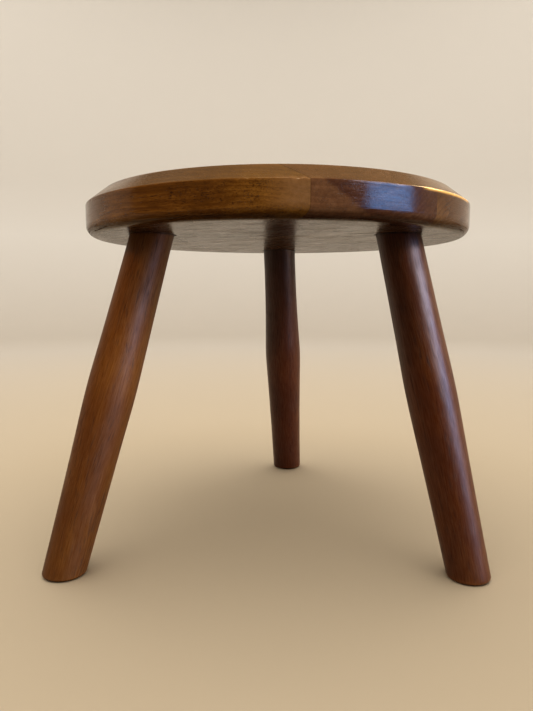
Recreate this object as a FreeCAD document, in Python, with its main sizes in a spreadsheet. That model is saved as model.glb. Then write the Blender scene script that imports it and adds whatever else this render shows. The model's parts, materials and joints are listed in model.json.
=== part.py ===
import FreeCAD, Part
import os
import Sketcher

# A wooden milking stool: a round seat glued up from five boards, standing on three
# splayed, turned legs. The top of each leg is a round tenon that goes right through the
# seat. It is slit across the seat's grain, spread by a wedge and cut flush.
#
# Millimetres, +Z up, floor at z = 0. Everything is built around the seat's axis. Each
# finished piece is then set over by seat_x and seat_y, which puts the origin at the
# middle of the space that the stool takes up on the floor.

SEAT_SIZES = {
    "stool_height": 274,
    "seat_diameter": 300,
    "seat_thickness": 33,
    "bevel_width": 13.2,
    "bevel_depth": 10.5,
    "lower_edge_radius": 7.8,
    "rim_arris_radius": 0.9,
    "top_arris_radius": 2.4,
    "board_width": 76,
    "grain_direction": -34,
    "seat_x": 8.1,
    "seat_y": -16.4,
}

# Along a leg, heights are measured from the middle of its foot, up the leg's own axis.
LEG_SIZES = {
    "foot_edge_radius": 2.6,
    "swell_round": 0.15,
    "tenon_start": 240,
    "waste_length": 20,
}

WEDGE_SIZES = {
    "wedge_depth": 27,
    "wedge_head": 5.2,
    "wedge_tip": 0.8,
    "wedge_width": 36,
    "wedge_waste": 6,
}

# The sockets were bored and the legs turned by eye, so each leg has its own socket centre
# on the seat's underside, splay from upright, direction in plan that it leans out to, and
# turn of its wedge from square across the grain. Directions are from +X towards +Y. The
# blank runs on past the floor by waste_length, and foot_diameter is its size at that end.
LEGS = {
    "back": {
        "socket_x": 4.4, "socket_y": 106.8, "splay": 14.5, "lean": 79.6, "turn": 2,
        "foot_diameter": 29.5, "lower_hollow": 0.5, "swell_diameter": 36.7,
        "swell_height": 137.5, "swell_half_length": 10.5, "upper_hollow": 0.65,
        "tenon_diameter": 31.2,
    },
    "left": {
        "socket_x": -92.1, "socket_y": -53.1, "splay": 16.5, "lean": -146.7, "turn": -3,
        "foot_diameter": 28.9, "lower_hollow": 0.2, "swell_diameter": 35.1,
        "swell_height": 134.2, "swell_half_length": 13.7, "upper_hollow": 0.12,
        "tenon_diameter": 31.3,
    },
    "right": {
        "socket_x": 87.1, "socket_y": -59.6, "splay": 14, "lean": -36.9, "turn": 4,
        "foot_diameter": 28.9, "lower_hollow": 0.2, "swell_diameter": 35.1,
        "swell_height": 134.2, "swell_half_length": 13.7, "upper_hollow": 0.12,
        "tenon_diameter": 31.3,
    },
}

# Boards in order across the grain, each with the leg whose socket is bored through it.
# The middle one lies on the seat's axis, and the two edge boards were turned away to
# narrow segments when the seat was made round.
BOARDS = {
    "seat_board_front_edge": None,
    "seat_board_front": "left",
    "seat_board_middle": "right",
    "seat_board_back": "back",
    "seat_board_back_edge": None,
}

NEAR = 0.01
FAILED_STATES = ("Invalid", "Error")


def fill_sheet(doc):
    """The driving dimensions, one row each: its name in column A, its value in column B."""
    sizes = SEAT_SIZES | LEG_SIZES | WEDGE_SIZES
    for leg, own_sizes in LEGS.items():
        sizes |= {f"{leg}_{name}": value for name, value in own_sizes.items()}
    sheet = doc.addObject("Spreadsheet::Sheet", "Sizes")
    for row, (name, value) in enumerate(sizes.items(), start=1):
        sheet.set(f"A{row}", name)
        sheet.set(f"B{row}", str(value))
        sheet.setAlias(f"B{row}", name)
    doc.recompute()
    return sheet


def bind(thing, properties):
    for name, expression in properties.items():
        thing.setExpression(name, expression)


def sketch_on(body, role, name):
    """An empty sketch on one of the body's own origin planes."""
    plane = next(p for p in body.Origin.OriginFeatures if p.Role == role)
    sketch = body.newObject("Sketcher::SketchObject", name)
    sketch.AttachmentSupport = [(plane, "")]
    sketch.MapMode = "FlatFace"
    return sketch


def value_of(sketch, expression):
    """The present value of an expression. None stands for 0, a place on the axis."""
    if expression is None:
        return 0
    value = sketch.evalExpression(expression)
    return float(getattr(value, "Value", value))


def pin_point(sketch, geometry, point, across, up):
    """Holds a sketch point at two distances from the sketch's origin, or on an axis."""
    for kind, expression, axis in (("DistanceX", across, -2), ("DistanceY", up, -1)):
        if expression is None:
            sketch.addConstraint(Sketcher.Constraint("PointOnObject", geometry, point, axis))
        else:
            distance = value_of(sketch, expression)
            pin = Sketcher.Constraint(kind, -1, 1, geometry, point, distance)
            bind(sketch, {f"Constraints[{sketch.addConstraint(pin)}]": expression})


def draw_outline(sketch, corners, curves=None):
    """A closed outline through corners, each (across, up) as expressions.

    curves gives, by the corner that it leaves, the point that a curved side passes through.
    """
    curves = curves or {}

    def vector(corner):
        return FreeCAD.Vector(*(value_of(sketch, words) for words in corner), 0)

    sides = []
    for number, corner in enumerate(corners):
        start, end = vector(corner), vector(corners[(number + 1) % len(corners)])
        if number in curves:
            side = sketch.addGeometry(Part.Arc(start, vector(curves[number]), end))
        else:
            side = sketch.addGeometry(Part.LineSegment(start, end))
        # An arc runs anticlockwise, so its first point may be the later corner.
        runs_back = sketch.getPoint(side, 1).distanceToPoint(start) > NEAR
        sides.append((side, 2, 1) if runs_back else (side, 1, 2))
    for (side, _, last), (following, first, _) in zip(sides, sides[1:] + sides[:1]):
        sketch.addConstraint(Sketcher.Constraint("Coincident", side, last, following, first))
    for number, (side, first, _) in enumerate(sides):
        pin_point(sketch, side, first, *corners[number])
        if number in curves:
            passing = sketch.addGeometry(Part.Point(vector(curves[number])), True)
            sketch.addConstraint(Sketcher.Constraint("PointOnObject", passing, 1, side))
            pin_point(sketch, passing, 1, *curves[number])


def revolve(body, sketch, name):
    turned = body.newObject("PartDesign::Revolution", name)
    turned.Profile = sketch
    turned.ReferenceAxis = (sketch, ["V_Axis"])
    turned.Angle = 360
    return turned


def ring_edge(shape, radius, height):
    """The name of the full circle of that radius about the Z axis at that height."""
    for number, edge in enumerate(shape.Edges, start=1):
        curve = edge.Curve
        if isinstance(curve, Part.Circle) and abs(curve.Radius - radius) < NEAR:
            if abs(curve.Center.z - height) < NEAR:
                return f"Edge{number}"
    raise ValueError(f"no circle of radius {radius} at height {height}")


def round_ring(doc, body, name, radius, height):
    """Rounds one of the turned seat's edges by the sheet's radius for it."""
    doc.recompute()
    before = body.Tip
    fillet = body.newObject("PartDesign::Fillet", name)
    fillet.Base = (before, [ring_edge(before.Shape, radius, height)])
    bind(fillet, {"Radius": f"Sizes.{name}_radius"})
    body.Tip = fillet


def turn_seat(doc, sheet):
    """The whole round seat, before it is divided into its boards."""
    body = doc.addObject("PartDesign::Body", "seat_disc")
    section = sketch_on(body, "XZ_Plane", "seat_section")
    underside = "Sizes.stool_height - Sizes.seat_thickness"
    rim = "Sizes.seat_diameter / 2"
    corners = [
        (None, underside),
        (rim, underside),
        (rim, "Sizes.stool_height - Sizes.bevel_depth"),
        (f"{rim} - Sizes.bevel_width", "Sizes.stool_height"),
        (None, "Sizes.stool_height"),
    ]
    draw_outline(section, corners)
    body.Tip = revolve(body, section, "turned_seat")
    radius = sheet.seat_diameter / 2
    rings = {
        "lower_edge": (radius, sheet.stool_height - sheet.seat_thickness),
        "rim_arris": (radius, sheet.stool_height - sheet.bevel_depth),
        "top_arris": (radius - sheet.bevel_width, sheet.stool_height),
    }
    for name, (ring_radius, height) in rings.items():
        round_ring(doc, body, name, ring_radius, height)
    return body


def leg_placement(leg, turn="0"):
    """From upright at the origin to a leg's place: over to its foot, then leaned about it."""
    splay, lean = f"Sizes.{leg}_splay", f"Sizes.{leg}_lean"
    reach = f"(Sizes.stool_height - Sizes.seat_thickness) * tan({splay})"
    foot_x = f"Sizes.{leg}_socket_x + {reach} * cos({lean})"
    foot_y = f"Sizes.{leg}_socket_y + {reach} * sin({lean})"
    tilt = f"rotation(vector(sin({lean}); -cos({lean}); 0); {splay})"
    spin = f"rotation(vector(0; 0; 1); {turn})"
    return f"placement(vector({foot_x}; {foot_y}; 0); {tilt} * {spin})"


def top_along(leg):
    """How far up the leg's own axis the seat's top is."""
    return f"Sizes.stool_height / cos(Sizes.{leg}_splay)"


def turn_leg(doc, leg):
    """A leg as it comes off the lathe, with waste at both ends, leaned into its place."""
    body = doc.addObject("PartDesign::Body", f"leg_blank_{leg}")
    bind(body, {"Placement": leg_placement(leg)})
    section = sketch_on(body, "XZ_Plane", f"leg_section_{leg}")
    own = f"Sizes.{leg}_"
    foot = f"{own}foot_diameter / 2"
    tenon = f"{own}tenon_diameter / 2"
    swell = f"{own}swell_diameter / 2"
    beside_swell = f"({swell} - Sizes.swell_round)"
    below_swell = f"({own}swell_height - {own}swell_half_length)"
    above_swell = f"({own}swell_height + {own}swell_half_length)"
    end = f"{top_along(leg)} + Sizes.waste_length"
    corners = [
        (None, "-Sizes.waste_length"),
        (foot, "-Sizes.waste_length"),
        (beside_swell, below_swell),
        (beside_swell, above_swell),
        (tenon, "Sizes.tenon_start"),
        (tenon, end),
        (None, end),
    ]
    curves = {
        1: (
            f"({foot} + {beside_swell}) / 2 - {own}lower_hollow",
            f"({below_swell} - Sizes.waste_length) / 2",
        ),
        2: (swell, f"{own}swell_height"),
        3: (
            f"({tenon} + {beside_swell}) / 2 - {own}upper_hollow",
            f"(Sizes.tenon_start + {above_swell}) / 2",
        ),
    }
    draw_outline(section, corners, curves)
    body.Tip = revolve(body, section, f"turned_leg_{leg}")
    return body


def make_wedge_blank(doc, leg):
    """A wedge as driven: wider than the tenon and standing proud of the seat."""
    body = doc.addObject("PartDesign::Body", f"wedge_blank_{leg}")
    across_grain = f"90 + Sizes.grain_direction + Sizes.{leg}_turn"
    bind(body, {"Placement": leg_placement(leg, across_grain)})
    section = sketch_on(body, "YZ_Plane", f"wedge_section_{leg}")
    tip = f"{top_along(leg)} - Sizes.wedge_depth"
    head = f"{top_along(leg)} + Sizes.wedge_waste"
    corners = [
        ("-Sizes.wedge_tip / 2", tip),
        ("Sizes.wedge_tip / 2", tip),
        ("Sizes.wedge_head / 2", head),
        ("-Sizes.wedge_head / 2", head),
    ]
    draw_outline(section, corners)
    pad = body.newObject("PartDesign::Pad", f"wedge_pad_{leg}")
    pad.Profile = section
    pad.SideType = "Symmetric"
    bind(pad, {"Length": "Sizes.wedge_width"})
    body.Tip = pad
    return body


def make_box(doc, name, properties):
    box = doc.addObject("Part::Box", name)
    bind(box, properties)
    return box


def combine(doc, kind, name, base, tool):
    """Part::Cut or Part::Common of two solids."""
    result = doc.addObject(kind, name)
    result.Base = base
    result.Tool = tool
    return result


def round_foot(doc, sheet, leg, sawn):
    """Takes the sharp edge off the foot, where the leg was sawn level with the floor."""
    doc.recompute()
    edges = enumerate(sawn.Shape.Edges, start=1)
    foot_edge = next(number for number, edge in edges if abs(edge.BoundBox.ZMax) < NEAR)
    rounded = doc.addObject("Part::Fillet", f"rounded_leg_{leg}")
    rounded.Base = sawn
    rounded.Edges = [(foot_edge, sheet.foot_edge_radius, sheet.foot_edge_radius)]
    return rounded


def make_legs_and_wedges(doc, sheet, blanks):
    """Each leg is sawn level with the floor and with the seat's top, slit and wedged."""
    sizes = {
        "Length": "2 * Sizes.seat_diameter",
        "Width": "2 * Sizes.seat_diameter",
        "Height": "Sizes.stool_height",
        "Placement.Base.x": "-Sizes.seat_diameter",
        "Placement.Base.y": "-Sizes.seat_diameter",
    }
    between_levels = make_box(doc, "between_floor_and_seat_top", sizes)
    pieces = []
    for leg, blank in blanks.items():
        sawn = combine(doc, "Part::Common", f"sawn_leg_{leg}", blank, between_levels)
        rounded = round_foot(doc, sheet, leg, sawn)
        wedge = make_wedge_blank(doc, leg)
        pieces.append(combine(doc, "Part::Cut", f"leg_{leg}", rounded, wedge))
        pieces.append(combine(doc, "Part::Common", f"wedge_{leg}", rounded, wedge))
    return pieces


def make_boards(doc, seat, blanks):
    """The seat divided at its glue joints, and each board bored for its leg."""
    along_grain = "rotation(vector(0; 0; 1); Sizes.grain_direction)"
    pieces = []
    for number, (name, leg) in enumerate(BOARDS.items()):
        boards_over = number - len(BOARDS) / 2
        corner = f"vector(-Sizes.seat_diameter / 2; {boards_over} * Sizes.board_width; 0)"
        sizes = {
            "Length": "Sizes.seat_diameter",
            "Width": "Sizes.board_width",
            "Height": "Sizes.stool_height",
            "Placement": f"placement({along_grain} * {corner}; {along_grain})",
        }
        strip = make_box(doc, f"{name}_strip", sizes)
        if leg:
            unbored = combine(doc, "Part::Common", f"{name}_unbored", seat, strip)
            pieces.append(combine(doc, "Part::Cut", name, unbored, blanks[leg]))
        else:
            pieces.append(combine(doc, "Part::Common", name, seat, strip))
    return pieces


def check(doc, pieces):
    """A failed feature doesn't raise by itself, so each one is looked at."""
    for thing in doc.Objects:
        if any(state in thing.State for state in FAILED_STATES):
            raise RuntimeError(f"{thing.Label} did not build: {thing.State}")
    for piece in pieces:
        shape = piece.Shape
        if shape.isNull() or not shape.isValid() or len(shape.Solids) != 1:
            raise RuntimeError(f"{piece.Label} is not one sound solid")


def main():
    doc = FreeCAD.newDocument("milking_stool")
    sheet = fill_sheet(doc)
    seat = turn_seat(doc, sheet)
    blanks = {leg: turn_leg(doc, leg) for leg in LEGS}
    pieces = make_boards(doc, seat, blanks) + make_legs_and_wedges(doc, sheet, blanks)
    for piece in pieces:
        bind(piece, {"Placement.Base.x": "Sizes.seat_x", "Placement.Base.y": "Sizes.seat_y"})
    doc.recompute()
    check(doc, pieces)
    os.makedirs("parts", exist_ok=True)
    for piece in pieces:
        piece.Shape.exportStep(f"parts/{piece.Label}.step")
        print(f"{piece.Label}: {piece.Shape.Volume / 1000:.1f} cm3")


main()
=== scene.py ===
import json
import math

import bmesh
import bpy
import numpy as np
from mathutils import Matrix, Vector

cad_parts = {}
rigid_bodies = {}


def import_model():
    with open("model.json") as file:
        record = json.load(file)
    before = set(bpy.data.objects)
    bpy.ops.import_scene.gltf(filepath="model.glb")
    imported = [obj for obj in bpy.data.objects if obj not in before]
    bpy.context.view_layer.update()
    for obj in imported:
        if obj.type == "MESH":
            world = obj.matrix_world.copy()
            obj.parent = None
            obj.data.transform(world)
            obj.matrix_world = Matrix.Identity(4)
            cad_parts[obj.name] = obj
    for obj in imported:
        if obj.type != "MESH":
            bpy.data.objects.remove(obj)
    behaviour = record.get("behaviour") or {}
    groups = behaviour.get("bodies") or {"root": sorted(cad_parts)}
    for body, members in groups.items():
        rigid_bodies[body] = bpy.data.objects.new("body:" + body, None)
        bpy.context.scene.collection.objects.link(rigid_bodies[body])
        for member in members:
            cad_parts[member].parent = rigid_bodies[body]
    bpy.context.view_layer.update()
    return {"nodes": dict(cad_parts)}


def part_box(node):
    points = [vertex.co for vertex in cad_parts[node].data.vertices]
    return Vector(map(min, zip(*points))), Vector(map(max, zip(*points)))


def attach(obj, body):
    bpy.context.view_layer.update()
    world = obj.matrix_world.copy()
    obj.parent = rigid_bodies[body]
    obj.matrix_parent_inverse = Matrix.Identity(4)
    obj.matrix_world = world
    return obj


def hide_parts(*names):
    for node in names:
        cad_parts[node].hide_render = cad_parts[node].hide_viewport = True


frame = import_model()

# A turned and varnished milking stool. Metres, +Z up, the floor at z = 0.
# Every CAD piece is replaced by a finer mesh of the same size in the same place, with
# softened edges, small knocks and a solid-wood finish of its own.

MM = 0.001

# ---- Sizes. Places come from the CAD model, and these are the shapes between them. ----

GRAIN = math.radians(-34)       # the seat's grain in plan, from +X towards +Y
BOARD_WIDTH = 76 * MM
BEVEL_WIDTH = 13.2 * MM
BEVEL_DEPTH = 10.5 * MM
TOP_ARRIS = 2.4 * MM
RIM_ARRIS = 0.9 * MM
LOWER_EDGE = 7.8 * MM

# Distances from the seat's axis between which the marks of turning come in.
RIM_START = (134 * MM, 139 * MM)

FOOT_ROUND = 2.6 * MM
WEDGE_DEPTH = 27 * MM
WEDGE_HEAD = 5.2 * MM
WEDGE_TIP = 0.8 * MM

# How far along its grain one piece of wood is from the next, per step of seed, in metres.
SEED_SHIFT = 0.731

# The camera: in front of the seat's axis, just below the seat, and looking down a little.
CAMERA_FROM_AXIS = (-7.22 * MM, -483.75 * MM)
CAMERA_HEIGHT = 198.98 * MM
CAMERA_YAW, CAMERA_PITCH, CAMERA_ROLL = -0.0017, -0.1083, 0.0022
CAMERA_LENS = 29.22

# Splay from upright, direction leaned out to, and turn of the wedge, in degrees. Then the
# turned outline in mm: (height along the axis, radius), and how hollow each stretch is.
LEGS = {
    "back": ((14.5, 79.6, 2),
             [(-20, 14.75), (127, 18.2), (148, 18.2), (240, 15.6)], (0.5, -0.15, 0.65)),
    "left": ((16.5, -146.7, -3),
             [(-20, 14.45), (120.5, 17.4), (147.9, 17.4), (240, 15.65)], (0.2, -0.15, 0.12)),
    "right": ((14, -36.9, 4),
              [(-20, 14.45), (120.5, 17.4), (147.9, 17.4), (240, 15.65)], (0.2, -0.15, 0.12)),
}
# In order across the grain, each with the leg that goes through it.
BOARDS = {
    "seat_board_front_edge": None,
    "seat_board_front": "left",
    "seat_board_middle": "right",
    "seat_board_back": "back",
    "seat_board_back_edge": None,
}


def box_of(names):
    lows, highs = zip(*(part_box(name) for name in names))
    low = Vector([min(corner[i] for corner in lows) for i in range(3)])
    high = Vector([max(corner[i] for corner in highs) for i in range(3)])
    return low, high


SEAT_LOW, SEAT_HIGH = box_of(BOARDS)
CENTRE = (SEAT_LOW + SEAT_HIGH) / 2
RADIUS = (SEAT_HIGH.x - SEAT_LOW.x) / 2
TOP, UNDER = SEAT_HIGH.z, SEAT_LOW.z


# ---- Small helpers ----

def smooth_noise(points, size, seed, waves=10):
    """Smooth noise between about -1 and 1, with features of about that size."""
    dice = np.random.RandomState(seed)
    total = np.zeros(len(points))
    for _ in range(waves):
        way = dice.normal(size=3)
        way *= 2 * math.pi / (size * np.linalg.norm(way) * dice.uniform(1.6, 3.2))
        total += np.sin(points @ way + dice.uniform(0, 2 * math.pi))
    return total / math.sqrt(waves / 2) / 2


def new_object(name, verts, faces):
    mesh = bpy.data.meshes.new(name)
    mesh.from_pydata([tuple(v) for v in verts], [], faces)
    mesh.validate()
    thing = bpy.data.objects.new(name, mesh)
    bpy.context.scene.collection.objects.link(thing)
    return thing


def boolean(base, tool, operation):
    """Cuts or intersects base with tool, and leaves the result as base's own mesh."""
    step = base.modifiers.new("boolean", "BOOLEAN")
    step.operation = operation
    step.solver = "EXACT"
    step.object = tool
    bpy.context.view_layer.update()
    made = base.evaluated_get(bpy.context.evaluated_depsgraph_get())
    mesh = bpy.data.meshes.new_from_object(made)
    base.modifiers.clear()
    base.data = mesh


def remove(thing):
    bpy.data.objects.remove(thing, do_unlink=True)


def points_of(thing):
    flat = np.empty(len(thing.data.vertices) * 3)
    thing.data.vertices.foreach_get("co", flat)
    return flat.reshape(-1, 3)


def move_points(thing, points):
    thing.data.vertices.foreach_set("co", points.ravel())
    thing.data.update()


def store(thing, name, values):
    """A value per vertex that a finish can read."""
    layer = thing.data.attributes.new(name, "FLOAT", "POINT")
    layer.data.foreach_set("value", np.clip(values, 0, 1).astype(np.float32))


def shade(thing, angle=32):
    thing.data.shade_smooth()
    thing.data.set_sharp_from_angle(angle=math.radians(angle))


def loft(rows):
    """Quads between rings of the same number of points, with a fan over each end."""
    rows = np.asarray(rows)
    count, around = rows.shape[:2]
    verts = rows.reshape(-1, 3).tolist()
    faces = []
    for i in range(count - 1):
        for j in range(around):
            k = (j + 1) % around
            faces.append((i * around + j, i * around + k,
                          (i + 1) * around + k, (i + 1) * around + j))
    for row, flip in ((0, True), (count - 1, False)):
        middle = len(verts)
        verts.append(rows[row].mean(axis=0).tolist())
        for j in range(around):
            a, b = row * around + j, row * around + (j + 1) % around
            faces.append((middle, b, a) if flip else (middle, a, b))
    return verts, faces


# ---- The seat ----

def fillet(before, corner, after, radius, count):
    """Points along the arc that rounds a corner of a flat outline."""
    before, corner, after = (np.array(p, float) for p in (before, corner, after))
    a = (before - corner) / np.linalg.norm(before - corner)
    b = (after - corner) / np.linalg.norm(after - corner)
    half = math.acos(a @ b) / 2
    reach = radius / math.tan(half)
    start, end = corner + a * reach, corner + b * reach
    middle = corner + (a + b) / np.linalg.norm(a + b) * radius / math.sin(half)
    u, v = (start - middle) / radius, (end - middle) / radius
    whole = math.acos(np.clip(u @ v, -1, 1))
    steps = np.linspace(0, 1, count)[:, None]
    arc = (np.sin((1 - steps) * whole) * u + np.sin(steps * whole) * v) / math.sin(whole)
    return middle + arc * radius


def seat_profile():
    """The rim's outline, from the flat top round to the flat underside: (radius, z)."""
    corners = [
        (0, TOP),
        (RADIUS - BEVEL_WIDTH, TOP),
        (RADIUS, TOP - BEVEL_DEPTH),
        (RADIUS, UNDER),
        (0, UNDER),
    ]
    arcs = [
        fillet(*corners[0:3], TOP_ARRIS, 7),
        fillet(*corners[1:4], RIM_ARRIS, 7),
        fillet(*corners[2:5], LOWER_EDGE, 18),
    ]
    profile = [(RADIUS * share, TOP) for share in (0.08, 0.3, 0.5, 0.65, 0.75, 0.83, 0.88)]
    for number, arc in enumerate(arcs):
        profile.extend(map(tuple, arc))
        if number < 2:
            start, end = arc[-1], arcs[number + 1][0]
            count = max(2, round(np.linalg.norm(end - start) / (1.3 * MM)))
            between = np.linspace(0, 1, count + 1)[1:-1, None]
            profile.extend(map(tuple, start + (end - start) * between))
    profile.extend((RADIUS * share, UNDER) for share in (0.9, 0.83, 0.75, 0.65, 0.5, 0.3, 0.08))
    return profile


def turn_seat(around=840):
    angles = np.linspace(0, 2 * math.pi, around, endpoint=False)
    rows = [
        np.stack([CENTRE.x + r * np.cos(angles), CENTRE.y + r * np.sin(angles),
                  np.full(around, z)], axis=1)
        for r, z in seat_profile()
    ]
    verts, faces = loft(rows)
    return new_object("turned_seat", verts, [face[::-1] for face in faces])


def slice_board(disc, number):
    """One board of the seat: the disc between two glue joints."""
    mesh = bmesh.new()
    mesh.from_mesh(disc.data)
    normal = Vector((-math.sin(GRAIN), math.cos(GRAIN), 0))
    for side in (-1, 1):
        joint = number - len(BOARDS) // 2 + side / 2
        if abs(joint) > len(BOARDS) / 2 - 1:
            continue
        cut = bmesh.ops.bisect_plane(
            mesh,
            geom=mesh.verts[:] + mesh.edges[:] + mesh.faces[:],
            plane_co=CENTRE + normal * joint * BOARD_WIDTH,
            plane_no=normal * side,
            clear_outer=True,
            dist=1e-7,
        )
        rim = [part for part in cut["geom_cut"] if isinstance(part, bmesh.types.BMEdge)]
        bmesh.ops.contextual_create(mesh, geom=rim)
    bmesh.ops.recalc_face_normals(mesh, faces=mesh.faces[:])
    name = list(BOARDS)[number]
    board = new_object("wood_" + name, [], [])
    mesh.to_mesh(board.data)
    mesh.free()
    return board


# ---- The legs ----

class Leg:
    """Where a leg stands, and its turned outline."""

    def __init__(self, name):
        angles, self.outline, self.hollows = LEGS[name]
        splay, lean, turn = (math.radians(angle) for angle in angles)
        self.name = name
        self.tenon = self.outline[-1][1] * MM
        self.up = Vector((-math.sin(splay) * math.cos(lean),
                          -math.sin(splay) * math.sin(lean), math.cos(splay)))
        self.tilt = Matrix.Rotation(splay, 3, Vector((math.sin(lean), -math.cos(lean), 0)))
        self.wedge_spin = self.tilt @ Matrix.Rotation(math.radians(90) + GRAIN + turn, 3, "Z")
        top = [
            v.co
            for node in (f"leg_{name}", f"wedge_{name}")
            for v in frame["nodes"][node].data.vertices
            if v.co.z > TOP - 1e-5
        ]
        along = Vector((math.cos(lean), math.sin(lean), 0))
        across = Vector((-math.sin(lean), math.cos(lean), 0))
        centre = Vector((0, 0, TOP))
        for way in (along, across):
            reach = [co.dot(way) for co in top]
            centre += way * (min(reach) + max(reach)) / 2
        self.foot = centre - self.up * (TOP / self.up.z)
        self.top_along = TOP / self.up.z

    def axis_at(self, z):
        return self.foot + self.up * (z / self.up.z)

    def radius(self, along):
        """The turned radius at distances along the axis, its two knees softened."""
        heights = np.arange(-0.03, 0.33, 0.0005)
        outline = np.full(len(heights), self.tenon)
        outline[heights < self.outline[0][0] * MM] = self.outline[0][1] * MM
        for (low, r0), (high, r1), hollow in zip(self.outline, self.outline[1:], self.hollows):
            part = (heights >= low * MM) & (heights <= high * MM)
            t = (heights[part] / MM - low) / (high - low)
            outline[part] = (r0 + (r1 - r0) * t - hollow * 4 * t * (1 - t)) * MM
        spread = np.exp(-0.5 * (np.arange(-20, 21) / 5) ** 2)
        padded = np.pad(outline, 20, mode="edge")
        outline = np.convolve(padded, spread / spread.sum(), mode="valid")
        return np.interp(along, heights, outline)


def turn_leg(leg, around=192, step=1.25 * MM):
    """A leg from its rounded foot to its tenon's end, before it is slit."""
    angles = np.linspace(0, 2 * math.pi, around, endpoint=False)
    tilt = np.array(leg.tilt)
    out = (np.outer(np.cos(angles), tilt[:, 0]) + np.outer(np.sin(angles), tilt[:, 1]))
    foot, up = np.array(leg.foot), np.array(leg.up)

    def along_at(z):
        along = np.full(around, z / up[2])
        for _ in range(8):
            along = (z - leg.radius(along) * out[:, 2]) / up[2]
        return along

    def surface(along):
        return foot + np.outer(along, up) + out * leg.radius(along)[:, None]

    def rounded_end(z, radius, count, sign):
        """Rows round the edge between the side and a level end, from side to end."""
        along = along_at(z)
        edge = surface(along)
        side = surface(along + sign * 0.002) - edge
        side /= np.linalg.norm(side, axis=1)[:, None]
        middle = foot + up * (z / up[2])
        inward = middle - edge
        inward /= np.linalg.norm(inward, axis=1)[:, None]
        half = np.arccos(np.clip((side * inward).sum(1), -1, 1)) / 2
        reach = radius / np.tan(half)
        start, end = edge + side * reach[:, None], edge + inward * reach[:, None]
        weight = np.sin(half)[:, None]
        rows = []
        for t in np.linspace(0, 1, count):
            top = (1 - t) ** 2 * start + 2 * t * (1 - t) * weight * edge + t ** 2 * end
            rows.append(top / ((1 - t) ** 2 + 2 * t * (1 - t) * weight + t ** 2))
        return rows, along + sign * reach, end, middle

    wobble = smooth_noise(np.c_[np.cos(angles), np.sin(angles), 0 * angles], 0.9, 7)
    foot_rows, low, foot_end, foot_middle = rounded_end(
        0, FOOT_ROUND * (1 + 0.16 * wobble), 10, 1)
    top_rows, high, top_end, top_middle = rounded_end(TOP, 0.35 * MM, 4, -1)
    rows = [foot_middle + (foot_end - foot_middle) * share for share in (0.15, 0.5, 0.85)]
    rows += foot_rows[::-1]
    count = round((high - low).mean() / step)
    rows += [surface(low + (high - low) * share) for share in np.linspace(0, 1, count)[1:-1]]
    rows += top_rows
    rows += [top_middle + (top_end - top_middle) * share for share in (0.85, 0.5, 0.15)]
    verts, faces = loft(rows)
    return new_object(f"wood_leg_{leg.name}", verts, faces)


def make_wedge_tool(leg, spare):
    """The wedge as driven, from below its tip to above the seat, thinned by spare."""
    tip, head = leg.top_along - WEDGE_DEPTH, leg.top_along + 6 * MM
    verts = []
    for along, thick in ((tip, WEDGE_TIP), (head, WEDGE_HEAD)):
        for x, y in ((-1, -1), (1, -1), (1, 1), (-1, 1)):
            local = Vector((x * 18 * MM, y * (thick / 2 - spare), along))
            verts.append(leg.foot + leg.wedge_spin @ local)
    faces = [(3, 2, 1, 0), (4, 5, 6, 7), (0, 1, 5, 4), (1, 2, 6, 5), (2, 3, 7, 6), (3, 0, 4, 7)]
    return new_object("wedge_tool", verts, faces)


def make_bore_tool(leg, around=160):
    """What the auger took out, with a small uneven chamfer at the seat's underside."""
    angles = np.linspace(0, 2 * math.pi, around, endpoint=False)
    flat_up = Vector((leg.up.x, leg.up.y, 0)).normalized()
    along = np.array([flat_up.x, flat_up.y, 0])
    across = np.array([-flat_up.y, flat_up.x, 0])
    ragged = smooth_noise(np.c_[np.cos(angles), np.sin(angles), 0 * angles], 0.28, 11)
    mouth = (1.5 + 0.4 * ragged) * MM
    rows = []
    # Levels in mm above the underside, closest together in the chamfer.
    for level in (-3, -0.02, 0.15, 0.35, 0.6, 0.9, 1.4, 10, 20, 32.4, 32.8, 33.02, 36):
        under = np.clip(1 - max(level, 0) / 1.6, 0, 1) ** 1.5
        over = 0.12 * MM * np.clip((level - 32.6) / 0.4, 0, 1)
        radius = leg.tenon + 0.03 * MM + mouth * under + over
        middle = np.array(leg.axis_at(UNDER + level * MM))
        rows.append(middle + np.outer(np.cos(angles) * radius / leg.up.z, along)
                    + np.outer(np.sin(angles) * radius, across))
    verts, faces = loft(rows)
    return new_object("bore_tool", verts, faces)


# ---- Finishes ----

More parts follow.
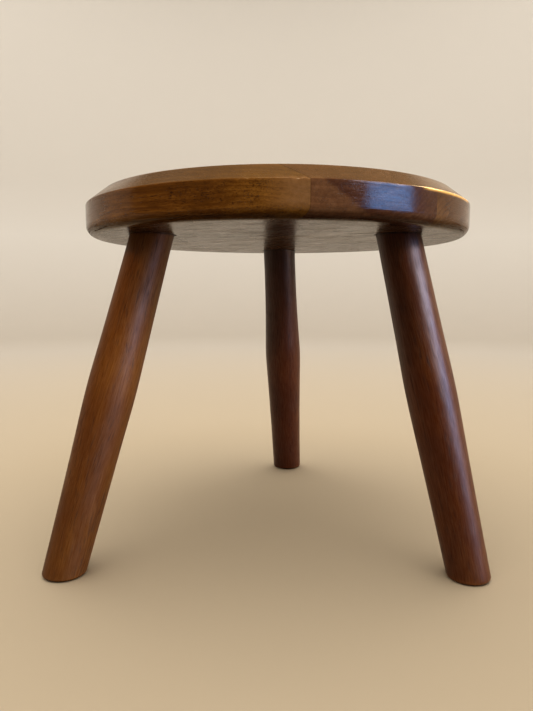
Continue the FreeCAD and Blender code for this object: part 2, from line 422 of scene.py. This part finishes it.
class Finish:
    """A material being put together. Each call adds a node and gives its output."""

    def __init__(self, name):
        self.material = bpy.data.materials.new(name)
        self.material.use_nodes = True
        self.tree = self.material.node_tree
        self.shader = self.tree.nodes["Principled BSDF"]

    def add(self, kind, inputs, output=0, **settings):
        node = self.tree.nodes.new("ShaderNode" + kind)
        for name, value in settings.items():
            setattr(node, name, value)
        for key, value in inputs.items():
            self.set(node.inputs[key], value)
        return node.outputs[output]

    def set(self, socket, value):
        if isinstance(value, bpy.types.NodeSocket):
            self.tree.links.new(value, socket)
        else:
            socket.default_value = value

    def math(self, operation, *values):
        return self.add("Math", dict(enumerate(values)), operation=operation)

    def vector(self, operation, *values, output="Vector"):
        return self.add("VectorMath", dict(enumerate(values)), output, operation=operation)

    def noise(self, vector, detail=2, rough=0.5, bend=0, output="Fac"):
        inputs = {"Vector": vector, "Scale": 1, "Detail": detail, "Roughness": rough,
                  "Distortion": bend}
        return self.add("TexNoise", inputs, output)

    def span(self, value, low, high, to_low=0.0, to_high=1.0):
        """Maps low..high to to_low..to_high, held at both ends."""
        inputs = {"Value": value, "From Min": low, "From Max": high,
                  "To Min": to_low, "To Max": to_high}
        return self.add("MapRange", inputs, "Result", clamp=True)

    def mix(self, share, a, b):
        node = self.tree.nodes.new("ShaderNodeMix")
        node.data_type = "RGBA"
        self.set(node.inputs["Factor"], share)
        self.set(node.inputs["A"], a)
        self.set(node.inputs["B"], b)
        return node.outputs["Result"]

    def ramp(self, value, stops):
        node = self.tree.nodes.new("ShaderNodeValToRGB")
        self.set(node.inputs["Fac"], value)
        elements = node.color_ramp.elements
        while len(elements) < len(stops):
            elements.new(0.5)
        for element, (place, colour) in zip(elements, stops):
            element.position = place
            element.color = colour
        return node.outputs["Color"]

    def stored(self, name):
        return self.add("Attribute", {}, "Fac", attribute_name=name)


def rgb(*levels):
    """A colour from 0-255 display levels."""
    return tuple((level / 255) ** 2.2 for level in levels) + (1,)


def wood(name, place, pith, tones, seed, ring=3.2, figure=0.88, fibre=0.5, coarse=0.2,
         pores=1.0, lathe=None, gloss=0.19, joint=None):
    """Solid wood under stain and varnish.

    place takes a point to the board's own space, with X along the grain. pith is where
    the tree's heart lay across it, in mm. tones are the dark, middle and light colours.
    """
    f = Finish(name)
    point = f.add("TexCoord", {}, "Object")
    turn = place.to_euler()
    own = f.add("Mapping", {"Vector": point, "Location": place.to_translation(),
                            "Rotation": tuple(turn)})
    shift = (seed * SEED_SHIFT, 0, 0)
    own = f.vector("ADD", own, shift)

    # The grain wanders a little along the board.
    bend = f.noise(f.vector("MULTIPLY", own, (7, 22, 22)), 2, 0.5, 0, "Color")
    bend = f.vector("SUBTRACT", bend, (0.5, 0.5, 0.5))
    bend = f.vector("MULTIPLY", bend, (0, 0.011, 0.011))
    grain = f.vector("ADD", own, bend)

    # Growth rings about the tree's heart.
    spoke = f.vector("SUBTRACT", grain, (0, pith[0] * MM, pith[1] * MM))
    spoke = f.vector("MULTIPLY", spoke, (0, 1, 1))
    depth = f.vector("LENGTH", spoke, output="Value")
    drift = f.noise(f.vector("MULTIPLY", own, (5, 40, 40)), 3, 0.6)
    rings = f.math("MULTIPLY_ADD", depth, 1 / (ring * MM), f.math("MULTIPLY", drift, 1.6))
    growth = f.math("FRACT", rings)
    late = f.math("POWER", growth, 2.2)
    late = f.math("MULTIPLY", late, f.span(growth, 0.93, 1.0, 1, 0))
    bands = f.add("TexNoise", {"W": f.math("MULTIPLY", depth, 115), "Scale": 1, "Detail": 3,
                               "Roughness": 0.6}, "Fac", noise_dimensions="1D")

    # Fibres and pores run along the grain.
    wide = f.noise(f.vector("MULTIPLY", grain, (9, 330, 330)), 3, 0.62)
    fine = f.noise(f.vector("MULTIPLY", grain, (42 + 50 * coarse, 1150 + 350 * coarse,
                                               1150 + 350 * coarse)), 4, 0.68)
    dash = f.noise(f.vector("MULTIPLY", grain, (110 - 50 * coarse, 2100 - 1000 * coarse,
                                               2100 - 1000 * coarse)), 2, 0.5)
    crowd = f.noise(f.vector("MULTIPLY", grain, (16, 190, 190)), 2, 0.5)
    pore = f.span(f.math("MULTIPLY_ADD", crowd, 0.35, dash), 0.75, 0.86)

    # The finish differs between the flat top, the bevel, the rim and the rim's lower edge.
    normal = f.add("NewGeometry", {}, "Normal")
    faces = f.add("SeparateXYZ", {"Vector": normal}, "Z")
    bevel = f.math("MULTIPLY", f.span(faces, 0.25, 0.55), f.span(faces, 0.85, 0.97, 1, 0))
    low_edge = f.math("MULTIPLY", f.span(faces, -0.5, -0.28, 1, 0), f.span(faces, -0.995, -0.85))
    blotch = f.noise(f.vector("MULTIPLY", own, (14, 20, 20)), 4, 0.55, 0.4)

    tone = f.math("MULTIPLY_ADD", late, -0.16 * figure, 0.54)
    tone = f.math("MULTIPLY_ADD", f.math("SUBTRACT", bands, 0.5), 0.45 * figure, tone)
    tone = f.math("MULTIPLY_ADD", f.math("SUBTRACT", wide, 0.5), 0.5 * figure, tone)
    tone = f.math("MULTIPLY_ADD", f.math("SUBTRACT", fine, 0.5), fibre, tone)
    tone = f.math("MULTIPLY_ADD", f.math("SUBTRACT", blotch, 0.5), 0.45 + 0.35 * figure, tone)
    colour = f.ramp(tone, [(0.12, tones[0]), (0.5, tones[1]), (0.9, tones[2])])
    colour = f.mix(f.math("MULTIPLY", bevel, 0.55), colour, rgb(102, 76, 38))
    showing = f.math("MULTIPLY_ADD", bevel, -0.4 * pores, 0.62 * pores)
    colour = f.mix(f.math("MULTIPLY", pore, showing), colour, rgb(30, 15, 10))

    # A streak of sapwood, and a darker flame across the figure.
    colour = f.mix(f.math("MULTIPLY", f.stored("pale"), f.span(wide, 0.2, 0.7, 0.45, 0.85)),
                   colour, rgb(120, 91, 60))
    colour = f.mix(f.math("MULTIPLY", f.stored("dark_flame"), 0.42), colour, rgb(49, 29, 25))

    # End grain drinks more stain.
    to_grain = Vector(place.to_3x3()[0])
    facing = f.vector("DOT_PRODUCT", normal, tuple(to_grain), output="Value")
    end = f.span(f.math("ABSOLUTE", facing), 0.45, 1.0, 0, 0.38)
    end = f.math("MULTIPLY", end, f.math("SUBTRACT", 1.0, bevel))
    colour = f.mix(end, colour, rgb(44, 22, 14))

    # Rubbed thin along the arrises.
    worn = f.math("MULTIPLY", f.stored("worn"), f.span(blotch, 0.36, 0.62, 0.25, 1.0))
    colour = f.mix(f.math("MULTIPLY", worn, 0.28), colour, rgb(158, 106, 58))
    # A painted highlight: a bright golden line along the rim's arris.
    colour = f.mix(f.math("MULTIPLY", f.stored("painted_arris_highlight"), 0.9), colour, rgb(232, 178, 96))
    # Painted shade and shadow where the legs meet the seat and down the legs, with dark rings round
    # the tenon ends and the feet.
    colour = f.mix(f.math("MULTIPLY", f.stored("painted_shade_and_dark_marks"), 0.85), colour, rgb(20, 10, 7))
    # Painted shade on faces turned downwards, such as the underside and the rim's lower edge.
    colour = f.mix(f.span(faces, -0.75, -0.28, 0.6, 0), colour, rgb(20, 9, 4))
    if joint:
        # The glue line shows as a hair of darker colour along each joint.
        across = f.add("SeparateXYZ", {"Vector": f.vector("SUBTRACT", own, shift)}, "Y")
        line = f.span(f.math("ABSOLUTE", across), joint - 0.22 * MM, joint - 0.08 * MM)
        colour = f.mix(f.math("MULTIPLY", line, 0.3), colour, rgb(24, 12, 8))
    f.set(f.shader.inputs["Base Color"], colour)

    # Satin varnish that sinks a little into the pores, duller where it is thin.
    smear = f.noise(f.vector("MULTIPLY", own, (38, 55, 55)), 3, 0.6)
    rough = f.math("ADD", gloss, f.span(smear, 0.3, 0.7, -0.05, 0.07))
    rough = f.math("MULTIPLY_ADD", f.math("SUBTRACT", fine, 0.5), 0.18, rough)
    rough = f.math("MULTIPLY_ADD", pore, 0.14, rough)
    rough = f.math("MULTIPLY_ADD", worn, -0.08, rough)
    if lathe:
        # The rim was rubbed down best.
        rough = f.math("ADD", rough, f.span(f.math("ABSOLUTE", faces), 0.1, 0.3, -0.07, 0))
    rough = f.math("ADD", rough, f.span(faces, -0.99, -0.9, 0.05, 0))
    f.set(f.shader.inputs["Roughness"], rough)
    f.shader.inputs["IOR"].default_value = 1.42
    # Varnish was wiped off the rim's lower edge, so it shines less there.
    shine = f.math("MULTIPLY_ADD", f.math("SUBTRACT", fine, 0.5), 0.5 + 0.9 * coarse,
                   0.4 + 0.2 * coarse)
    shine = f.math("MULTIPLY_ADD", low_edge, -0.34, shine)

    height = f.math("MULTIPLY", fine, 0.32 + 0.25 * coarse)
    height = f.math("MULTIPLY_ADD", wide, 0.3, height)
    height = f.math("MULTIPLY_ADD", pore, -0.15, height)
    if lathe:
        # Fine rings left by turning and sanding the rim.
        x0, y0 = lathe
        flat = f.vector("SUBTRACT", point, (x0, y0, 0))
        parts = f.add("SeparateXYZ", {"Vector": flat}, "X").node.outputs
        bearing = f.math("ARCTAN2", parts["Y"], parts["X"])
        out = f.vector("LENGTH", f.vector("MULTIPLY", flat, (1, 1, 0)), output="Value")
        track = f.add("CombineXYZ", {"X": f.math("MULTIPLY", bearing, 5),
                                     "Y": f.math("MULTIPLY", out, 1500),
                                     "Z": f.math("MULTIPLY", parts["Z"], 1500)})
        streak = f.noise(track, 3, 0.6)
        on_rim = f.math("MULTIPLY", streak, f.span(out, *RIM_START))
        height = f.math("MULTIPLY_ADD", on_rim, 0.7, height)
        shine = f.math("MULTIPLY_ADD", f.span(streak, 0.3, 0.7, -0.5, 0.5),
                       f.span(out, *RIM_START, 0, 0.3), shine)
    f.set(f.shader.inputs["Specular IOR Level"], shine)
    bump = f.add("Bump", {"Height": height, "Strength": 1.0, "Distance": 0.00007}, "Normal")
    f.set(f.shader.inputs["Normal"], bump)
    return f.material


def finish_piece(thing, node, material):
    thing.data.materials.clear()
    thing.data.materials.append(material)
    for face in thing.data.polygons:
        face.material_index = 0
    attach(thing, "root")
    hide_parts(node)


# ---- Build the seat ----

LEG_AT = {name: Leg(name) for name in LEGS}


def weather_seat(board, number):
    """Small unevenness of the turned rim, knocks on its arris, its wear, a painted highlight along
    its arris and painted shade round the legs.
    """
    points = points_of(board)
    from_axis = points - np.array([CENTRE.x, CENTRE.y, 0])
    out = np.hypot(from_axis[:, 0], from_axis[:, 1])
    bearing = np.degrees(np.arctan2(from_axis[:, 1], from_axis[:, 0]))
    near_rim = np.clip((out - RADIUS + 16 * MM) / (4 * MM), 0, 1)
    outward = np.c_[from_axis[:, :2] / np.maximum(out, 1e-6)[:, None], np.zeros(len(out))]

    # The turned rim is true to a tenth of a millimetre or so.
    sway = 0.10 * MM * smooth_noise(points, 0.05, 21) + 0.04 * MM * smooth_noise(points, 0.016, 22)
    points += outward * (sway * near_rim)[:, None]
    # Boards have moved a few hundredths against each other since they were glued.
    points += outward * near_rim[:, None] * (0.05 * MM * (number % 2))

    # Knocks along the rim's arris: (bearing in degrees, length and depth in mm).
    knocks = [(-86.5, 5, 0.5), (-84.2, 2.5, 0.35), (-97, 3, 0.15), (-62, 2, 0.15),
              (-150, 3, 0.35), (-20, 4, 0.3), (15, 3, 0.4), (62, 5, 0.35), (100, 2.5, 0.3),
              (141, 4, 0.45), (176, 3, 0.3), (-40, 2, 0.3), (36, 2, 0.2), (120, 3, 0.25)]
    arris = np.hypot(out - RADIUS, points[:, 2] - (TOP - BEVEL_DEPTH))
    for where, length, depth in knocks:
        along = np.abs((bearing - where + 180) % 360 - 180) * math.pi / 180 * RADIUS
        hit = np.exp(-(along / (length / 2 * MM)) ** 2 - (arris / (1.2 * MM)) ** 2)
        points -= (outward + [0, 0, 0.8]) * (hit * depth * MM)[:, None]
    move_points(board, points)

    top_arris = np.hypot(out - (RADIUS - BEVEL_WIDTH), points[:, 2] - TOP)
    worn = 0.5 * np.exp(-(arris / (1.0 * MM)) ** 2) + 0.6 * np.exp(-(top_arris / (2.2 * MM)) ** 2)
    worn *= 0.75 + 0.25 * smooth_noise(points, 0.02, 31)
    # A painted highlight: a bright golden line along the rim's arris on the right.
    painted_arris_highlight = np.clip((15 - np.abs(bearing + 39.5)) / 2.5, 0, 1) * np.exp(-(arris / (0.8 * MM)) ** 2)
    # Painted shade in the gap round each leg where it enters the seat, under the seat and just
    # below its top.
    painted_shade_and_dark_marks = np.zeros(len(points))
    for leg in LEG_AT.values():
        for z, reach in ((UNDER, 1.5), (TOP, 0.35)):
            centre = np.array(leg.axis_at(z))
            flat = points - centre
            flat[:, 2] = 0
            lengthwise = flat @ np.array([leg.up.x, leg.up.y, 0]) / math.hypot(leg.up.x, leg.up.y)
            side = flat[:, 0] ** 2 + flat[:, 1] ** 2 - lengthwise ** 2
            edge = np.sqrt(np.maximum(side, 0) + (lengthwise * leg.up.z) ** 2) - leg.tenon
            close = np.exp(-(np.maximum(edge, 0) / (reach * MM)) ** 2)
            level = (np.abs(points[:, 2] - z) < 1.5 * MM) & (points[:, 2] < TOP - 0.05 * MM)
            painted_shade_and_dark_marks = np.maximum(painted_shade_and_dark_marks, close * level)
    lengthwise = from_axis[:, 0] * math.cos(GRAIN) + from_axis[:, 1] * math.sin(GRAIN)
    on_rim = np.clip((out - RADIUS + 2.5 * MM) / (2 * MM), 0, 1)
    pale = np.clip((lengthwise - 72 * MM) / (18 * MM), 0, 1) ** 1.5 * on_rim * (number == 0)
    pale *= np.clip((points[:, 2] - UNDER - 4 * MM) / (5 * MM), 0, 1)
    # On the next board a flame starts at a slanting line down the rim and fades away to the
    # right of it, with paler wood between that line and the joint.
    slant = (bearing + 80.2) * math.pi / 180 * RADIUS - (TOP - BEVEL_DEPTH - points[:, 2]) * 1.43
    past = 1 / (1 + np.exp(-np.clip(slant / (0.7 * MM), -30, 30)))
    beside = (number == 1) * on_rim
    flame = past * np.exp(-np.maximum(slant, 0) / (16 * MM)) * beside
    pale += 0.4 * (1 - past) * (np.abs(bearing + 75) < 14) * beside
    store(board, "worn", worn)
    store(board, "painted_arris_highlight", painted_arris_highlight)
    store(board, "painted_shade_and_dark_marks", painted_shade_and_dark_marks)
    store(board, "pale", pale)
    store(board, "dark_flame", flame)


def board_place(number, roll=0.0):
    """From the row's frame to the board's own, X along the grain and Y across it."""
    normal = Vector((-math.sin(GRAIN), math.cos(GRAIN), 0))
    middle = CENTRE + normal * (number - len(BOARDS) // 2) * BOARD_WIDTH
    turned = Matrix.Rotation(roll, 4, "X") @ Matrix.Rotation(-GRAIN, 4, "Z")
    return turned @ Matrix.Translation(-middle)


BOARD_LOOKS = {
    "seat_board_front_edge": ((8, -95), (rgb(51, 31, 9), rgb(85, 56, 21), rgb(124, 88, 38)), 3),
    "seat_board_front": ((-30, 60), (rgb(50, 30, 18), rgb(84, 56, 37), rgb(118, 83, 56)), 11),
    "seat_board_middle": ((14, -70), (rgb(60, 37, 18), rgb(96, 66, 36), rgb(134, 98, 57)), 19),
    "seat_board_back": ((-22, 85), (rgb(53, 33, 17), rgb(88, 59, 33), rgb(126, 89, 51)), 27),
    "seat_board_back_edge": ((25, -60), (rgb(58, 36, 16), rgb(95, 65, 31), rgb(133, 96, 49)), 35),
}

disc = turn_seat()
for number, (name, leg_name) in enumerate(BOARDS.items()):
    board = slice_board(disc, number)
    if leg_name:
        tool = make_bore_tool(LEG_AT[leg_name])
        boolean(board, tool, "DIFFERENCE")
        remove(tool)
    weather_seat(board, number)
    shade(board)
    pith, tones, seed = BOARD_LOOKS[name]
    material = wood(name + "_finish", board_place(number), pith, tones, seed,
                    lathe=(CENTRE.x, CENTRE.y), joint=BOARD_WIDTH / 2)
    finish_piece(board, name, material)
remove(disc)


# ---- Build the legs and wedges ----

def weather_leg(thing, leg, seed, shade_towards_foot):
    """Hand-turned unevenness, a few shallow dents, rubbed places, dark rings round the tenon's end
    and the foot's flat, and painted shade and shadow under the seat and towards the foot.
    """
    points = points_of(thing)
    foot, up = np.array(leg.foot), np.array(leg.up)
    along = (points - foot) @ up
    out = points - foot - np.outer(along, up)
    distance = np.linalg.norm(out, axis=1)
    out /= np.maximum(distance, 1e-6)[:, None]
    on_side = (distance > 0.85 * leg.radius(along)) & (points[:, 2] < UNDER - 1 * MM)
    on_side &= points[:, 2] > 0.5 * MM
    local = np.c_[out @ np.array(leg.tilt)[:, :2] * 0.016, along * 0.3]
    sway = 0.10 * MM * smooth_noise(local, 0.014, seed) + 0.03 * MM * smooth_noise(
        np.c_[local[:, :2], along], 0.012, seed + 1)
    fade = np.clip(points[:, 2] / (4 * MM), 0, 1) * np.clip((UNDER - points[:, 2]) / (4 * MM), 0, 1)
    points += out * (sway * fade * on_side)[:, None]
    dice = np.random.RandomState(seed + 5)
    for _ in range(12):
        height, turn = dice.uniform(0.01, 0.23), dice.uniform(0, 2 * math.pi)
        size, depth = dice.uniform(1.2, 3.2) * MM, dice.uniform(0.06, 0.2) * MM
        way = np.array(leg.tilt @ Vector((math.cos(turn), math.sin(turn), 0)))
        place = foot + up * height + way * leg.radius(height)
        near = np.linalg.norm(points - place, axis=1)
        points -= out * (np.exp(-(near / size) ** 2) * depth * on_side)[:, None]
    move_points(thing, points)

    z = points[:, 2]
    worn = np.exp(-((z - 1.2 * MM) / (1.6 * MM)) ** 2) * (z > 0.05 * MM) * 0.8
    worn *= 0.7 + 0.3 * smooth_noise(points, 0.008, seed + 2)
    # Painted shade just under the seat, where the leg goes into it.
    painted_shade_and_dark_marks = np.exp(-((z - UNDER) / (0.55 * MM)) ** 2) * (distance > 0.9 * leg.tenon)
    painted_shade_and_dark_marks = np.maximum(painted_shade_and_dark_marks, 0.9 * (z < 0.02 * MM) * (distance > 0.75 * leg.radius(along)))
    # Painted shade: darker towards the foot.
    painted_shade_and_dark_marks = np.maximum(painted_shade_and_dark_marks, shade_towards_foot * (1 - z / UNDER))
    # A painted shadow of the seat across the top of the leg.
    painted_shade_and_dark_marks = np.maximum(painted_shade_and_dark_marks, 0.3 * np.exp(-((UNDER - z) / (20 * MM)) ** 2))
    end_ring = (z > TOP - 0.5 * MM) * np.clip((distance / leg.tenon - 0.95) / 0.05, 0, 1)
    store(thing, "worn", worn)
    store(thing, "painted_shade_and_dark_marks", np.maximum(painted_shade_and_dark_marks, 0.7 * end_ring))


def leg_place(leg, roll):
    """From the row's frame to the leg's own, X up its axis."""
    upright = leg.tilt.to_4x4().inverted() @ Matrix.Translation(-leg.foot)
    lay = Matrix.Rotation(math.radians(90), 4, "Y")
    return Matrix.Rotation(roll, 4, "X") @ lay @ upright


# The heart's place, tones, seed, varnish and painted shade towards the foot of each leg.
LEG_LOOKS = {
    "back": ((34, 20), (rgb(35, 14, 0), rgb(59, 26, 2), rgb(86, 44, 8)), 43, 0.36, 0.12),
    "left": ((-60, 12), (rgb(58, 31, 2), rgb(94, 55, 6), rgb(130, 86, 20)), 51, 0.48, 0.42),
    "right": ((22, -48), (rgb(43, 20, 0), rgb(69, 35, 1), rgb(97, 58, 8)), 59, 0.38, 0.12),
}
WEDGE_TONES = (rgb(88, 58, 34), rgb(126, 88, 54), rgb(160, 118, 74))

for name, leg in LEG_AT.items():
    piece = turn_leg(leg)
    wedge = piece.copy()
    wedge.data = piece.data.copy()
    wedge.name = f"wood_wedge_{name}"
    bpy.context.scene.collection.objects.link(wedge)
    slot_tool, wedge_tool = make_wedge_tool(leg, 0), make_wedge_tool(leg, 0.05 * MM)
    boolean(piece, slot_tool, "DIFFERENCE")
    boolean(wedge, wedge_tool, "INTERSECT")
    remove(slot_tool)
    remove(wedge_tool)

    pith, tones, seed, gloss, shade_towards_foot = LEG_LOOKS[name]
    weather_leg(piece, leg, seed, shade_towards_foot)
    store(wedge, "worn", np.zeros(len(wedge.data.vertices)))
    store(wedge, "painted_shade_and_dark_marks", np.zeros(len(wedge.data.vertices)))
    shade(piece)
    shade(wedge)
    place = leg_place(leg, math.radians(seed * 37))
    finish_piece(piece, f"leg_{name}",
                 wood(f"leg_{name}_finish", place, pith, tones, seed, ring=3.4, figure=0.18,
                      fibre=0.42, coarse=0.7, pores=0.8, gloss=gloss))
    finish_piece(wedge, f"wedge_{name}",
                 wood(f"wedge_{name}_finish", place, (60, 80), WEDGE_TONES, seed + 3, ring=1.8,
                      pores=0.5, gloss=0.4))


# ---- Floor, light and camera ----

def backdrop_finish():
    """A cream floor that turns into a paler cream wall."""
    f = Finish("backdrop_finish")
    place = f.add("SeparateXYZ", {"Vector": f.add("TexCoord", {}, "Object")}).node.outputs
    away = f.math("SQRT", f.math("ADD", f.math("MULTIPLY", place["X"], place["X"]),
                                 f.math("MULTIPLY", place["Y"], place["Y"])))
    floor = f.mix(f.span(away, 0.3, 1.6), rgb(190, 175, 152), rgb(196, 188, 177))
    colour = f.mix(f.span(place["Z"], 0.0, 0.5), floor, rgb(222, 218, 212))
    f.set(f.shader.inputs["Base Color"], colour)
    f.shader.inputs["Roughness"].default_value = 0.75
    f.shader.inputs["Specular IOR Level"].default_value = 0.2
    return f.material


def make_floor(name, start, end, reflected):
    """Part of a pale floor that sweeps up into a wall 3 m off, between two bearings.

    reflected says whether it shows in the varnish.
    """
    outline = [(0.0001, 0), (0.15, 0), (0.3, 0), (0.6, 0), (1.2, 0), (2.2, 0)]
    outline += [(2.4 + 0.8 * math.sin(a), 0.8 - 0.8 * math.cos(a))
                for a in np.radians(np.arange(0, 91, 9))]
    outline += [(3.2, 1.6), (3.2, 2.6)]
    bearings = np.radians(np.arange(start, end + 1, 3))
    across, along = np.cos(bearings), np.sin(bearings)
    verts = [(r * c, FLOOR_SPLIT + r * s, z) for r, z in outline for c, s in zip(across, along)]
    n = len(bearings)
    faces = [(i * n + j, i * n + j + 1, (i + 1) * n + j + 1, (i + 1) * n + j)
             for i in range(len(outline) - 1) for j in range(n - 1)]
    floor = new_object(name, verts, faces)
    for face in floor.data.polygons:
        face.use_smooth = True
    if floor.data.polygons[0].normal.z < 0:
        floor.data.flip_normals()
    floor.data.materials.append(BACKDROP)
    floor.visible_glossy = reflected
    return floor


def area_light(name, place, width, height, power, colour, lit=None, shines=True):
    """A soft light aimed at the stool.

    lit limits it to one collection, and shines says whether it shows in the varnish.
    """
    light = bpy.data.lights.new(name, "AREA")
    light.shape = "RECTANGLE"
    light.size, light.size_y = width, height
    light.energy = power
    light.color = colour
    lamp = bpy.data.objects.new(name, light)
    lamp.location = place
    lamp.rotation_euler = (Vector(AIM) - Vector(place)).to_track_quat("-Z", "Y").to_euler()
    lamp.visible_camera = False
    lamp.visible_glossy = shines
    bpy.context.scene.collection.objects.link(lamp)
    if lit:
        lamp.light_linking.receiver_collection = lit


def from_stool(bearing, height, distance):
    a = math.radians(bearing)
    return (distance * math.cos(a), distance * math.sin(a), height)


AIM = (0, 0, 0.2)
FLOOR_SPLIT = -0.26
BACKDROP = backdrop_finish()

the_stool = bpy.data.collections.new("the_stool")
the_legs = bpy.data.collections.new("the_legs")
for thing in bpy.context.scene.objects:
    if thing.name.startswith("wood_"):
        the_stool.objects.link(thing)
    if thing.name.startswith("wood_leg_"):
        the_legs.objects.link(thing)
backdrop = bpy.data.collections.new("backdrop")
backdrop.objects.link(make_floor("floor", 0, 180, True))
backdrop.objects.link(make_floor("floor_in_front", -180, 0, False))

area_light("window", from_stool(-29, 0.45, 2.0), 0.98, 0.7, 17, (0.13, 0.46, 1.0), the_stool)
area_light("window_top", from_stool(-32, 1.14, 2.0), 1.3, 0.56, 51, (0.78, 0.73, 0.84), the_stool)
area_light("lamp", from_stool(-95, 2.4, 1.2), 0.9, 0.9, 10.5, (1.0, 0.82, 0.54), the_stool)
area_light("side_lamp", from_stool(22, 1.65, 1.9), 1.2, 0.34, 36, (1.0, 0.80, 0.46), the_stool)
area_light("left_lamp", from_stool(-152, 1.45, 1.8), 0.4, 0.4, 18, (1.0, 0.74, 0.40), the_stool,
           False)
area_light("window_wide", from_stool(-50, 0.75, 2.0), 0.9, 0.8, 9, (0.84, 0.72, 0.68), the_legs)
area_light("floor_glow", from_stool(-20, 0.12, 1.4), 0.7, 0.22, 3, (1.0, 0.62, 0.42), the_legs)
area_light("overhead", (0, 0, 2.6), 4.4, 4.4, 14, (1.0, 0.92, 0.78))
area_light("backdrop_light", (0, 0, 2.5), 4.4, 4.4, 98, (1.0, 0.96, 0.91), backdrop, False)

world = bpy.data.worlds.new("studio")
world.use_nodes = True
sky = world.node_tree.nodes["Background"]
sky.inputs["Color"].default_value = (0.92, 0.84, 0.70, 1)
sky.inputs["Strength"].default_value = 0.12
bpy.context.scene.world = world
bpy.context.scene.view_settings.view_transform = "Standard"
bpy.context.scene.view_settings.look = "Medium High Contrast"

camera_data = bpy.data.cameras.new("camera")
camera_data.lens = CAMERA_LENS
camera_data.sensor_width = 36
camera_data.clip_start = 0.01
camera = bpy.data.objects.new("camera", camera_data)
bpy.context.scene.collection.objects.link(camera)
yaw, pitch, roll = CAMERA_YAW, CAMERA_PITCH, CAMERA_ROLL
ahead = Vector((math.sin(yaw) * math.cos(pitch), math.cos(yaw) * math.cos(pitch), math.sin(pitch)))
level = Vector((math.cos(yaw), -math.sin(yaw), 0))
lifted = level.cross(ahead)
right = math.cos(roll) * level + math.sin(roll) * lifted
above = -math.sin(roll) * level + math.cos(roll) * lifted
aimed = Matrix((right, above, -ahead)).transposed().to_4x4()
camera.matrix_world = Matrix.Translation((
    CENTRE.x + CAMERA_FROM_AXIS[0], CENTRE.y + CAMERA_FROM_AXIS[1], CAMERA_HEIGHT)) @ aimed
bpy.context.scene.camera = camera
